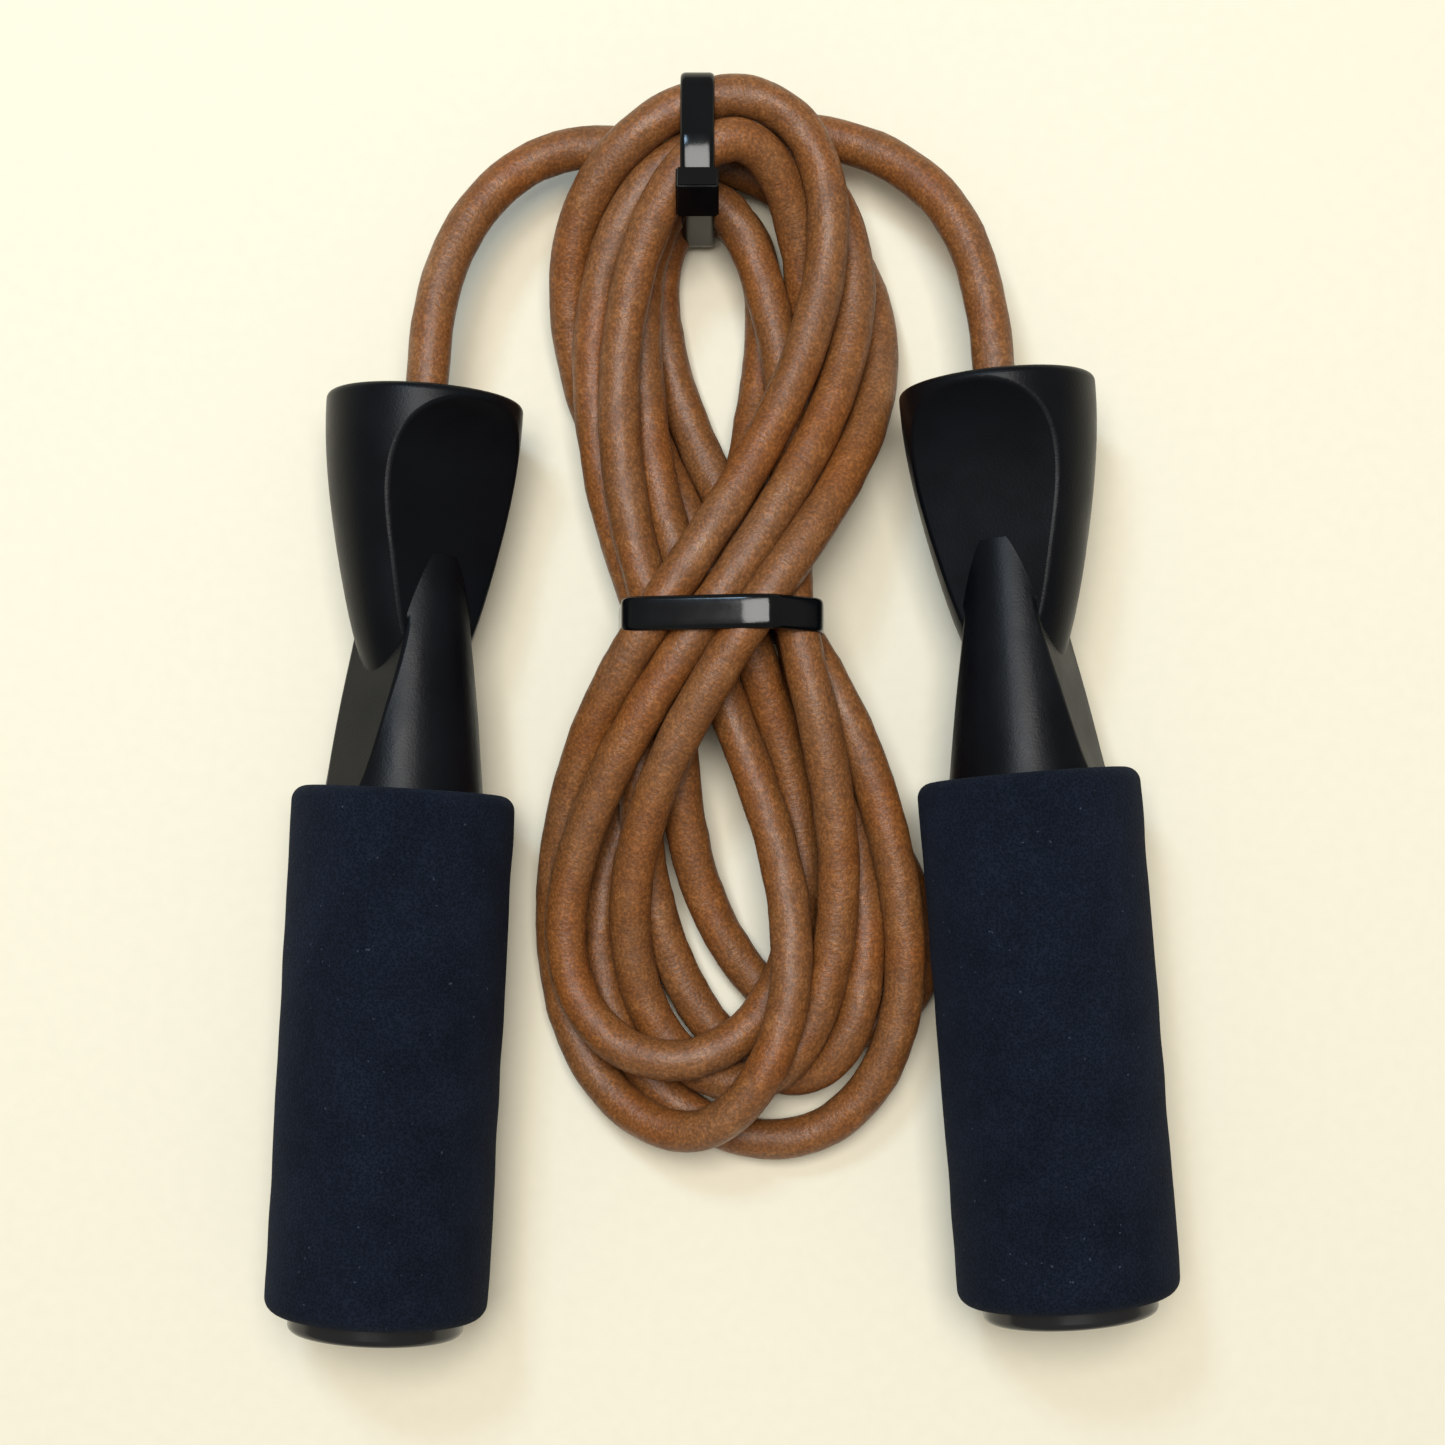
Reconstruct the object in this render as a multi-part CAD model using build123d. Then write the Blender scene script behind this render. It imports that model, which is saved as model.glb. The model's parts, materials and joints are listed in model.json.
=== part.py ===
from build123d import *
from math import cos, pi, radians, sin, tan
import os

# A leather skipping rope with ball-bearing handles, stored as a twisted hank with two cable ties.
# Millimetres. +Z is up, z = 0 is the surface that it lies on, and +Y runs from the grips to the
# handles' rope ends. The origin is on that surface, under the middle of the two handles' box.

# ---- rope ----
ROPE_D = 7.0
ROPE_R = ROPE_D / 2

# ---- handles: where the middle of each rim is, how the axis leans, how the mouldings are rolled ----
AXIS_HEIGHT = 18.5
HANDLES = {
    "left": {"rim": (-49.28, 75.90), "lean": 3.1, "roll": 41.0},
    "right": {"rim": (45.42, 78.40), "lean": -4.6, "roll": -25.0},
}

# Depths along a handle are measured from the rim, into the handle.
RIM_R = 16.2
RIM_ROUND = 1.2
NECK_TOP = 26.3
HEAD_END = 46.0
GRIP_START = 65.0
GRIP_END = 152.0
GRIP_TUBE_R = 12.5
FOAM_R = AXIS_HEIGHT
FOAM_ROUND = 2.5

# (radius, depth) of the flared head and of the neck cone, before their facets are cut
HEAD_PROFILE = [(RIM_R, 0), (15.7, 11), (14.2, 21), (12.1, 31), (9.4, 41), (7.6, HEAD_END)]
NECK_PROFILE = [(8.5, NECK_TOP), (10.9, 46.5), (12.4, 60.0), (13.0, GRIP_START)]
# (distance from the axis, depth) of the hollow facets: two on the head, two across them on the neck
HEAD_FACET = [(17.0, 1.0), (12.4, 5.5), (8.6, 18.0), (8.2, 26.3), (7.0, 44.0), (6.9, 48.0)]
NECK_FACET = [(6.2, 38.0), (7.3, 44.0), (9.1, 52.0), (12.0, 65.0), (13.5, 70.0)]
FACET_REACH = 30.0
FACET_EDGE_ROUND = 1.0
FACET_EDGE_SHORTEST = 10.0
# the depths between which each moulding's facets meet its round sides
HEAD_FACET_EDGES = (2.0, 45.0)
NECK_FACET_EDGES = (30.0, 64.0)

# ---- bearing, a standard 8 x 19 x 6 ----
BEARING_BORE_R = 4.0
BEARING_R = 9.5
BEARING_WIDTH = 6.0
INNER_RACE_R = 5.6
OUTER_RACE_BORE_R = 7.9
BALL_R = 1.6
BALL_COUNT = 8
BALL_PITCH_R = 6.75
BALL_CLEARANCE = 0.05
CAGE_THICKNESS = 0.8
CAGE_WIDTH = 4.6
CAGE_CLEARANCE = 0.08

# ---- head cap, which holds the bearing in ----
CAP_DEPTH = 1.0
CAP_R = 12.0
CAP_THICKNESS = 2.5
CAP_HOLE_R = 4.3
CAP_RELIEF_R = 7.7
CAP_RELIEF = 0.5
BEARING_TOP = CAP_DEPTH + CAP_THICKNESS
BEARING_END = BEARING_TOP + BEARING_WIDTH

# ---- hollow inside the handle ----
STOP_ROOM_R = 6.4
STOP_ROOM_END = 22.0
NECK_BORE_R = 5.2
NECK_BORE_END = 62.0
GRIP_BORE_R = 9.5
GRIP_BORE_START = 68.0

# ---- what holds the rope's end ----
BUSH_FLANGE_R = 5.0
BUSH_FLANGE = 0.8
WASHER_TOP = BEARING_END + BUSH_FLANGE
WASHER_R = 5.8
WASHER_THICKNESS = 1.2
PIN_R = 0.9
PIN_LENGTH = 10.6
PIN_DEPTH = WASHER_TOP + WASHER_THICKNESS + PIN_R

# ---- end cap ----
END_FLANGE_R = 14.5
END_FLANGE = 3.0
END_FLANGE_ROUND = 1.2
END_PLUG_LENGTH = 8.0
END_PLUG_WALL = 2.0

# ---- free stretches of the rope, from the pinned end inside each handle to the hank ----
ROUTES = {
    "left": [
        (-50.20, 58.92, 18.5),
        (-49.23, 76.90, 18.5),
        (-47.8, 93.8, 18.2),
        (-41.8, 108.7, 15.5),
        (-32.6, 118.6, 11.5),
        (-20.8, 122.3, 8.0),
        (-9.0, 121.3, 6.5),
    ],
    "right": [
        (46.78, 61.45, 18.5),
        (45.34, 79.40, 18.5),
        (43.5, 94.7, 18.2),
        (39.0, 108.0, 15.8),
        (30.0, 117.1, 12.0),
        (18.2, 120.6, 8.5),
        (6.6, 119.7, 6.5),
    ],
}
BEND_SHARE = 0.45

# ---- hank: a figure of eight seen from above, and how thick it is along Y ----
HANK_OUTLINE = [
    (16.2, 39.5), (22.0, 66.0), (29.6, 88.0), (30.0, 106.0), (20.9, 120.7), (3.5, 130.0),
    (-15.0, 124.0), (-29.0, 108.0), (-31.5, 88.0), (-26.5, 62.0), (-16.6, 39.5), (-26.0, 17.0),
    (-32.0, -8.0), (-29.5, -29.0), (-14.0, -46.0), (9.0, -50.8), (27.0, -42.0), (33.4, -21.0),
    (33.0, -3.0), (23.5, 19.0),
]
HANK_HOLES = [
    [(-2.2, 102.0), (2.4, 101.0), (4.4, 88.0), (0.5, 66.5), (-6.4, 82.0), (-6.2, 96.0)],
    [(-0.6, 18.0), (6.3, 4.0), (8.0, -15.0), (4.2, -18.5), (-0.6, -3.0)],
    [(11.0, -44.5), (19.5, -42.5), (26.5, -31.0), (20.5, -30.5)],
]
HANK_TOP_LINE = [
    (-56.0, 8.0), (-35.0, 11.0), (0.0, 13.0), (20.0, 17.5), (39.5, 30.6), (60.0, 19.0), (90.0, 14.0),
    (112.0, 19.6), (135.0, 19.8),
]
HANK_ARCH_HALF = 24.0
HANK_ARCH_HEIGHT = 4.8

# ---- cable ties ----
TIE_WIDTH = 5.6
TIE_THICKNESS = 1.3
TIE_CORNER_R = 5.0
TIE_HEAD = (7.0, 7.0, 4.6)
TIE_HEAD_ROUND = 0.8
TIE_STUB = 1.6
TOP_TIE_X = -4.1
TOP_TIE_Y = (104.0, 130.0)
TOP_TIE_Z = (0.0, 20.4)
WAIST_TIE_Y = 39.5
WAIST_TIE_X = (-17.0, 16.6)
WAIST_TIE_Z = (3.6, 31.4)


def handle_plane(side):
    """The frame of one handle: origin in the rim, Z into the handle, X across the head's facets."""
    handle = HANDLES[side]
    lean = radians(handle["lean"])
    roll = radians(handle["roll"])
    return Plane(
        origin=(handle["rim"][0], handle["rim"][1], AXIS_HEIGHT),
        x_dir=(sin(roll) * cos(lean), -sin(roll) * sin(lean), cos(roll)),
        z_dir=(-sin(lean), -cos(lean), 0),
    )


def tube(outer_r, inner_r, start, end):
    """A round piece about the handle's axis, from one depth to another. No hole if inner_r is 0."""
    length = end - start
    ring = Pos(0, 0, start + length / 2) * Cylinder(outer_r, length)
    if inner_r:
        ring -= Pos(0, 0, start + length / 2) * Cylinder(inner_r, length)
    return ring


def turned(profile):
    """The solid under a smooth (radius, depth) profile, turned about the handle's axis."""
    top, bottom = profile[0][1], profile[-1][1]
    outline = Spline(*profile) + Polyline(profile[-1], (0, bottom), (0, top), profile[0])
    return revolve(Plane.XZ * make_face(outline), Axis.Z)


def facet_cut(profile, turn):
    """What two opposite facets remove: all that lies further out than a (distance, depth) profile."""
    top, bottom = profile[0][1], profile[-1][1]
    outline = Spline(*profile) + Polyline(
        profile[-1], (FACET_REACH, bottom), (FACET_REACH, top), profile[0]
    )
    side = extrude(Plane.XZ * make_face(outline), FACET_REACH, both=True)
    return Rot(0, 0, turn) * (side + Rot(0, 0, 180) * side)


def round_facet_edges(shape, depths):
    """Softens the long edges between a moulding's facets and its round sides."""
    start, end = depths
    edges = [
        edge
        for edge in shape.edges().filter_by(GeomType.CIRCLE, reverse=True)
        if start < edge.center().Z < end and edge.length > FACET_EDGE_SHORTEST
    ]
    return fillet(edges, FACET_EDGE_ROUND)


def handle_shell():
    """The moulded handle: a flared head and a neck of crossed wedges, and the tube under the grip."""
    head = turned(HEAD_PROFILE)
    rim = head.edges().filter_by(GeomType.CIRCLE).sort_by(Axis.Z)[0]
    head = round_facet_edges(fillet(rim, RIM_ROUND) - facet_cut(HEAD_FACET, 0), HEAD_FACET_EDGES)
    neck = round_facet_edges(turned(NECK_PROFILE) - facet_cut(NECK_FACET, 90), NECK_FACET_EDGES)
    shell = head + neck + tube(GRIP_TUBE_R, 0, GRIP_START, GRIP_END)
    shell -= tube(CAP_R, 0, -1, BEARING_TOP)
    shell -= tube(BEARING_R, 0, BEARING_TOP, BEARING_END)
    shell -= tube(STOP_ROOM_R, 0, BEARING_END, STOP_ROOM_END)
    shell -= tube(NECK_BORE_R, 0, STOP_ROOM_END, NECK_BORE_END)
    cone_length = GRIP_BORE_START - NECK_BORE_END
    shell -= Pos(0, 0, NECK_BORE_END + cone_length / 2) * Cone(NECK_BORE_R, GRIP_BORE_R, cone_length)
    shell -= tube(GRIP_BORE_R, 0, GRIP_BORE_START, GRIP_END)
    return shell


def foam_grip():
    """The foam sleeve on the grip tube."""
    foam = Pos(0, 0, (GRIP_START + GRIP_END) / 2) * Cylinder(FOAM_R, GRIP_END - GRIP_START)
    foam = fillet(foam.edges().filter_by(GeomType.CIRCLE), FOAM_ROUND)
    return foam - tube(GRIP_TUBE_R, 0, GRIP_START, GRIP_END)


def end_cap():
    """The cap on the grip's end: a flange outside, and a hollow plug in the tube's bore."""
    flange = tube(END_FLANGE_R, 0, GRIP_END, GRIP_END + END_FLANGE)
    rim = flange.edges().filter_by(GeomType.CIRCLE).sort_by(Axis.Z)[-1]
    plug = tube(GRIP_BORE_R, GRIP_BORE_R - END_PLUG_WALL, GRIP_END - END_PLUG_LENGTH, GRIP_END)
    return fillet(rim, END_FLANGE_ROUND) + plug


def head_cap():
    """The disc pressed into the rim. It bears on the outer race and clears everything that turns."""
    cap = tube(CAP_R, CAP_HOLE_R, CAP_DEPTH, BEARING_TOP)
    return cap - tube(CAP_RELIEF_R, 0, BEARING_TOP - CAP_RELIEF, BEARING_TOP)


def race_groove():
    """The ball track, cut from both races."""
    middle = (BEARING_TOP + BEARING_END) / 2
    return Pos(0, 0, middle) * Torus(BALL_PITCH_R, BALL_R + BALL_CLEARANCE)


def round_the_bearing(shape):
    """Copies of a shape, which stands on the pitch circle along X, at each ball's place."""
    middle = (BEARING_TOP + BEARING_END) / 2
    turns = [360 * i / BALL_COUNT for i in range(BALL_COUNT)]
    return [Pos(0, 0, middle) * Rot(0, 0, turn) * Pos(BALL_PITCH_R, 0, 0) * shape for turn in turns]


def bearing_cage():
    """The ring that keeps the balls apart, with a pocket for each."""
    middle = (BEARING_TOP + BEARING_END) / 2
    ring = tube(
        BALL_PITCH_R + CAGE_THICKNESS / 2,
        BALL_PITCH_R - CAGE_THICKNESS / 2,
        middle - CAGE_WIDTH / 2,
        middle + CAGE_WIDTH / 2,
    )
    pocket = Rot(0, 90, 0) * Cylinder(BALL_R + CAGE_CLEARANCE, 4 * CAGE_THICKNESS)
    return ring - round_the_bearing(pocket)


def stop_pin():
    """The cross pin through the rope, which bears on the washer."""
    return Pos(0, 0, PIN_DEPTH) * Rot(0, 90, 0) * Cylinder(PIN_R, PIN_LENGTH)


def handle_parts():
    """Every piece of one handle, in the handle's own frame."""
    bush = tube(BEARING_BORE_R, ROPE_R, BEARING_TOP, BEARING_END)
    bush += tube(BUSH_FLANGE_R, ROPE_R, BEARING_END, WASHER_TOP)
    return {
        "handle_shell": handle_shell(),
        "foam_grip": foam_grip(),
        "end_cap": end_cap(),
        "head_cap": head_cap(),
        "bearing_outer_race": tube(BEARING_R, OUTER_RACE_BORE_R, BEARING_TOP, BEARING_END) - race_groove(),
        "bearing_inner_race": tube(INNER_RACE_R, BEARING_BORE_R, BEARING_TOP, BEARING_END) - race_groove(),
        "bearing_balls": Compound(children=round_the_bearing(Sphere(BALL_R))),
        "bearing_cage": bearing_cage(),
        "rope_bush": bush,
        "stop_washer": tube(WASHER_R, ROPE_R, WASHER_TOP, WASHER_TOP + WASHER_THICKNESS),
        "stop_pin": stop_pin(),
    }


def bend_radii(points):
    """The radius of the arc at each inner point of a route, as large as its two runs allow."""
    radii = []
    for a, b, c in zip(points, points[1:], points[2:]):
        before = Vector(*b) - Vector(*a)
        after = Vector(*c) - Vector(*b)
        turn = radians(before.get_angle(after))
        radii.append(BEND_SHARE * min(before.length, after.length) / tan(turn / 2))
    return radii


def rope_tail(side):
    """A free stretch of rope: straight runs joined by arcs, with the stop pin's hole near its end."""
    route = ROUTES[side]
    radii = bend_radii(route)
    path = FilletPolyline(*route, radius=radii)
    tail = sweep(Plane(origin=path @ 0, z_dir=path % 0) * Circle(ROPE_R), path=path)
    expected = pi * ROPE_R**2 * path.length
    print(side, "tail: length", round(path.length, 1), "radii", [round(r, 1) for r in radii])
    print(side, "tail: volume", round(tail.volume, 1), "section times length", round(expected, 1))
    return tail - handle_plane(side).location * stop_pin()


def tie_loop(plane, width, height, wall):
    """What a band of this wall fills round a box of width by height, seen along the band's axis."""
    outer = RectangleRounded(width, height, TIE_CORNER_R)
    inner = RectangleRounded(width - 2 * wall, height - 2 * wall, TIE_CORNER_R - wall)
    return extrude(plane * (outer - inner), TIE_WIDTH / 2, both=True)


def tie_head(plane, foot, turn):
    """The ratchet head that a band runs through at foot, and the trimmed end that comes out of it."""
    along, across, thick = TIE_HEAD
    box = fillet(Box(along, thick, across).edges(), TIE_HEAD_ROUND)
    stub = Pos(along / 2, 0, 0) * Box(2 * TIE_STUB, TIE_THICKNESS, TIE_WIDTH)
    sunk = TIE_THICKNESS - thick / 2
    return plane * Pos(*foot) * Rot(0, 0, turn) * Pos(0, sunk, 0) * (box + stub)


def span(limits):
    """The middle and the size of a (low, high) pair."""
    return (limits[0] + limits[1]) / 2, limits[1] - limits[0]


def cable_ties():
    """Both ties, and the groove that each presses into the hank."""
    top_y, top_width = span(TOP_TIE_Y)
    top_z, top_height = span(TOP_TIE_Z)
    top_plane = Plane(origin=(TOP_TIE_X, top_y, top_z), x_dir=(0, 1, 0), z_dir=(1, 0, 0))
    waist_x, waist_width = span(WAIST_TIE_X)
    waist_z, waist_height = span(WAIST_TIE_Z)
    waist_plane = Plane(origin=(waist_x, WAIST_TIE_Y, waist_z), x_dir=(1, 0, 0), z_dir=(0, -1, 0))

    # the top tie's head is on its upper corner over the loop, the waist tie's is under the hank
    corner = TIE_CORNER_R * (1 - cos(pi / 4))
    top = tie_loop(top_plane, top_width, top_height, TIE_THICKNESS)
    top += tie_head(top_plane, (corner - top_width / 2, top_height / 2 - corner), -135)
    waist = tie_loop(waist_plane, waist_width, waist_height, TIE_THICKNESS)
    waist += tie_head(waist_plane, (0, -waist_height / 2), 0)
    return top, waist


def rope_hank(ties):
    """The outer shape of the coiled rope: a figure of eight with its openings, arched at the waist."""
    outline = make_face(Spline(*HANK_OUTLINE, periodic=True))
    for hole in HANK_HOLES:
        outline -= make_face(Spline(*hole, periodic=True))
    tallest = 2 * AXIS_HEIGHT
    hank = extrude(outline, tallest)

    first, last = HANK_TOP_LINE[0], HANK_TOP_LINE[-1]
    side = make_face(
        Spline(*HANK_TOP_LINE) + Polyline(last, (last[0], 0), (first[0], 0), first)
    )
    arch = make_face(
        ThreePointArc(
            (WAIST_TIE_Y - HANK_ARCH_HALF, 0),
            (WAIST_TIE_Y, HANK_ARCH_HEIGHT),
            (WAIST_TIE_Y + HANK_ARCH_HALF, 0),
        )
        + Line((WAIST_TIE_Y + HANK_ARCH_HALF, 0), (WAIST_TIE_Y - HANK_ARCH_HALF, 0))
    )
    side_plane = Plane(origin=(0, 0, 0), x_dir=(0, 1, 0), z_dir=(1, 0, 0))
    hank &= extrude(side_plane * (side - arch), 2 * FACET_REACH, both=True)
    for tie in ties:
        hank -= tie
    return hank


os.makedirs("parts", exist_ok=True)
nodes = {}
for side in HANDLES:
    location = handle_plane(side).location
    for name, piece in handle_parts().items():
        nodes[f"{side}_{name}"] = location * piece
    nodes[f"rope_{side}_tail"] = rope_tail(side)
nodes["top_tie"], nodes["waist_tie"] = cable_ties()
nodes["rope_hank"] = rope_hank([nodes["top_tie"], nodes["waist_tie"]])

for name, shape in nodes.items():
    export_step(shape, f"parts/{name}.step")
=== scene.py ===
import json
from math import cos, pi, radians, sin

import bmesh
import bpy
import numpy as np
from mathutils import Matrix, Vector


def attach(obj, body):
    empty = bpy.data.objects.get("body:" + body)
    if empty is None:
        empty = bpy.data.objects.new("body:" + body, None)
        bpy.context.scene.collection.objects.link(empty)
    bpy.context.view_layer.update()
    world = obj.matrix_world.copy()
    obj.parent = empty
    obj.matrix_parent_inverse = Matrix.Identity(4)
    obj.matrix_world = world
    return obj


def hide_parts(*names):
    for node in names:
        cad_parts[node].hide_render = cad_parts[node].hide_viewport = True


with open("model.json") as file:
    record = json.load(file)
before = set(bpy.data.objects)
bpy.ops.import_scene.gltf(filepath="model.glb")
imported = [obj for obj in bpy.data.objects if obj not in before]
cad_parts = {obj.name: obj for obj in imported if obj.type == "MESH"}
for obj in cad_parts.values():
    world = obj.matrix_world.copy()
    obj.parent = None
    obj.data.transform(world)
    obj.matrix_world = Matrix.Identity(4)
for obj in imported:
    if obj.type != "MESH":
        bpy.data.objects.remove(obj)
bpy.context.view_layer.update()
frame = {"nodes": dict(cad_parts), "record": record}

# A leather skipping rope with two foam-covered bearing handles, stored as a twisted hank.
# The rope's line is worked out in millimetres and turned to metres when its curve is made.

MM = 0.001

# ---- rope ----
ROPE_D = 7.0
ROPE_R = ROPE_D / 2
ROPE_SIDES = 24
CURVE_STEPS = 6
ROPE_SEED = 7

# the leather's unevenness: how deep, the shortest and longest wave along it, and how many lobes round
ROPE_WAVES = [(0.035, 25, 70, 2), (0.03, 8, 20, 3), (0.018, 3, 7, 5)]
WAVES_OF_EACH = 7

# the free ends, from the pinned end inside each handle to the hank: the CAD's route points, with
# the last two a little lower, where the rope goes in under the turns
LEFT_TAIL = [
    (-50.20, 58.92, 18.5),
    (-49.23, 76.90, 18.5),
    (-47.8, 93.8, 18.2),
    (-41.8, 108.7, 15.5),
    (-32.6, 118.6, 10.0),
    (-20.8, 122.3, 5.0),
]
RIGHT_TAIL = [
    (46.78, 61.45, 18.5),
    (45.34, 79.40, 18.5),
    (43.5, 94.7, 18.2),
    (39.0, 108.0, 15.8),
    (30.0, 117.1, 10.5),
    (18.2, 120.6, 5.0),
]

# ---- hank ----
# The rope goes round the upper and the lower lobe by turns and crosses the waist in between. A side
# or a crossing is (how far out along X, how many ropes it lies above the floor), and a tip is
# (X, Y, how many ropes up). The first and the last upper lobe are halves that end in the tails.
UPPER_LOBES = [
    {"tip": (-4.0, 116.9, 0.0), "out": (27.5, 0.0)},
    {"in": (7.9, 1.0), "tip": (-2.0, 112.6, 1.1), "out": (-13.5, 1.0)},
    {"in": (17.4, 2.0), "tip": (3.6, 126.3, 1.1), "out": (-27.4, 0.5)},
    {"in": (-10.4, 0.0), "tip": (-1.6, 111.7, 0.0), "out": (8.8, 0.0)},
    {"in": (23.1, 1.0), "tip": (2.0, 120.4, 0.9), "out": (-21.4, 1.0)},
    {"in": (14.9, 0.2), "tip": (3.0, 120.0, 1.9), "out": (-16.1, 2.0)},
    {"in": (-19.0, 0.0), "tip": (2.0, 122.6, 0.0)},
]
LOWER_LOBES = [
    {"in": (-16.5, 1.0), "tip": (5.0, -38.2, 1.2), "out": (20.7, 1.3)},
    {"in": (12.6, 2.8), "tip": (-5.4, -46.1, 1.0), "out": (-29.0, 0.0)},
    {"in": (-22.0, 0.0), "tip": (9.0, -48.9, 0.0), "out": (31.7, 1.0)},
    {"in": (14.0, 1.8), "tip": (-8.0, -35.1, 1.9), "out": (-27.2, 1.0)},
    {"in": (-11.5, 0.0), "tip": (8.5, -38.3, 0.5), "out": (24.4, 0.5)},
    {"in": (-3.5, 0.0), "tip": (21.0, -31.0, 0.0), "out": (33.8, 0.0)},
]
CROSSINGS = [
    (4.2, 2.6), (10.9, 1.0), (-5.5, 1.1), (-9.8, 2.1), (-5.3, 0.0), (12.0, 0.95),
    (1.5, 1.1), (-3.0, 2.8), (-12.3, 0.0), (8.7, 0.0), (-12.3, 1.1), (1.7, 0.0),
]

# A lobe is a drop-shaped curve, from LOBE_START degrees past the waist to as many before it. Its width
# is sin(a) * sin(a / 2), which is LOBE_WIDEST at the most. LOBE_STAGES are the shares of the way out
# where its height is given: at the waist, along the side, where the tip begins and at the tip.
LOBE_POINTS = 20
LOBE_START = 50.0
LOBE_WIDEST = 0.77
LOBE_STAGES = [0, 0.5, 0.85, 1.0]

# how much higher each rope lies than the one under it, and how the hank rises where it is waisted
LAYER = 6.2
WAIST_Y = 39.5
WAIST_LENGTH = 5
WAIST_LIMITS = (-12.4, 11.8)
WAIST_RISE = 6.0
WAIST_RISE_LENGTH = 16.0

# ---- settling ----
# In each step the points sink by GRAVITY and go back by the share PULL_HOME of their way home, but not
# in the last LOOSEN_STEPS. SMOOTHING, KEEP_LENGTH and PUSH are shares of a full correction.
SETTLE_STEPS = 500
LOOSEN_STEPS = 30
FIXED_POINTS = 4
GRAVITY = 0.03
PULL_HOME = 0.05
SMOOTHING = 0.5
KEEP_LENGTH = 0.25
TIGHTEST_BEND = 14.0

# Segments count as touching below this share of the diameter. Only pairs NEIGHBOURS apart or more along
# the rope are looked at, and of these only the near ones, which are found again now and then.
TOUCHING = 0.985
PUSH = 1.2
PUSHES = 2
NEIGHBOURS = 3
NEAR = 26
STEPS_BETWEEN_LOOKS = 10

# ---- handles ----
# Places along a handle are distances from its rim, and those of the sleeve are from the sleeve's end.
RIM_R = 16.2
BEARING_MIDDLE = 6.5
HANDLE_GAP = 0.6
FOAM_START = 65.0
FOAM_END = 152.0
FOAM_R = 18.5
FOAM_BORE_R = 12.55
FOAM_ROUND = 2.5
FOAM_ROUND_STEPS = 9
FOAM_FACE_RINGS = (13.2, 14.2, 15.2)
FOAM_BORE_EDGE = 0.25
FOAM_RINGS = 70
FOAM_SIDES = 144
FOAM_SEED = 11
FOAM_WAVES = 9
FOAM_WAVE_LENGTHS = (9, 40)
FOAM_WAVE_LOBES = 4
FOAM_WAVE_DEPTH = 0.035
FOAM_SINK = 0.12

# ---- cable ties ----
# A strap presses into the rope by TIE_PRESS. Its head sits at an angle round the strap, in degrees.
TIE_WIDTH = 5.6
TIE_THICKNESS = 1.3
TIE_PRESS = 0.65
TIE_STEPS = 120
TIE_SHARP = 35

# the strap's rounded edge, as (in from the edge, down from the top), and the points across its underside
TIE_EDGE = [(0.0, TIE_THICKNESS), (0.0, 0.6), (0.12, 0.32), (0.4, 0.1), (0.8, 0.0), (1.8, 0.0)]
TIE_UNDERSIDE = (1.9, 0.0, -1.9)

TOP_TIE_X = -4.1
TOP_TIE_FROM_Y = 103
TOP_HEAD_ANGLE = 150
WAIST_HEAD_ANGLE = -90
WAIST_TIE_REACH = 25

# the head's length along the strap, its width and its height, its slot and the strap's cut end
TIE_HEAD = (7.0, 7.0, 4.6)
HEAD_CONTACT = 1.5
HEAD_SHARP = 40
HEAD_BEVEL = 0.35
HEAD_BEVEL_STEPS = 3
SLOT_WALL = 1.0
SLOT_DEPTH = 1.4
STUB_LENGTH = 4.2
STUB_INSET = 0.6
STUB_NARROWING = 1.2

# what the rope leaves free under it: the floor's gap, the waist tie's head and the top tie's strap
FLOOR_GAP = 0.2
HEAD_ROOM = 4.9
HEAD_ROOM_LENGTH = 9
HEAD_ROOM_FULLNESS = 1.25
STRAP_ROOM = 0.8
STRAP_ROOM_REACH = 9
STRAP_ROOM_FROM_Y = 95

# ---- camera, light and floor, in metres ----
CAMERA_HEIGHT = 0.425
CAMERA_Y = -0.0038
CAMERA_LENS = 61.0
CAMERA_SHIFT = 0.109
LIGHTS = {
    "softbox": {"place": (-0.02, 0.14, 0.95), "target": (0, 0.04, 0), "size": (0.46, 0.40),
                "power": 9.2, "colour": (1.0, 0.985, 0.955)},
    "window": {"place": (-0.22, 0.42, 0.72), "target": (0, 0.05, 0), "size": (0.14, 0.14),
               "power": 2.2, "colour": (0.50, 0.74, 1.0)},
}
SKY_COLOUR = (1.0, 0.965, 0.88, 1.0)
SKY_STRENGTH = 0.34
FLOOR_HALF = 3.0
FLOOR_Z = -0.0002
FLOOR_DARKER = (0.712, 0.660, 0.522)
FLOOR_LIGHTER = (0.728, 0.674, 0.534)


def height_over_floor(layers, y):
    """The middle of a rope that lies on this many others, and higher where the hank is waisted."""
    return ROPE_R + layers * LAYER + WAIST_RISE * np.exp(-(((y - WAIST_Y) / WAIST_RISE_LENGTH) ** 2))


def lobe(before, after, side_in, side_out, tip):
    """The points of one lobe, from a crossing out along one side, round the tip and back.

    The curve is widest two thirds of the way to its tip, so that is where its sides are as far out as
    they should be.
    """
    height = tip[1] - WAIST_Y
    points = []
    for angle in np.radians(np.linspace(LOBE_START, 360 - LOBE_START, LOBE_POINTS)):
        out = (1 - cos(angle)) / 2
        width = abs(sin(angle) * sin(angle / 2)) / LOBE_WIDEST
        waist, side = (before, side_in) if angle < pi else (after, side_out)
        centre = waist[0] * (1 - out) + tip[0] * out
        reach = side[0] - (waist[0] / 3 + tip[0] * 2 / 3)
        y = WAIST_Y + height * out
        layers = float(np.interp(out, LOBE_STAGES, [waist[1], side[1], side[1], tip[2]]))
        points.append((centre + reach * width, y, height_over_floor(layers, y)))
    return points


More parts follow.
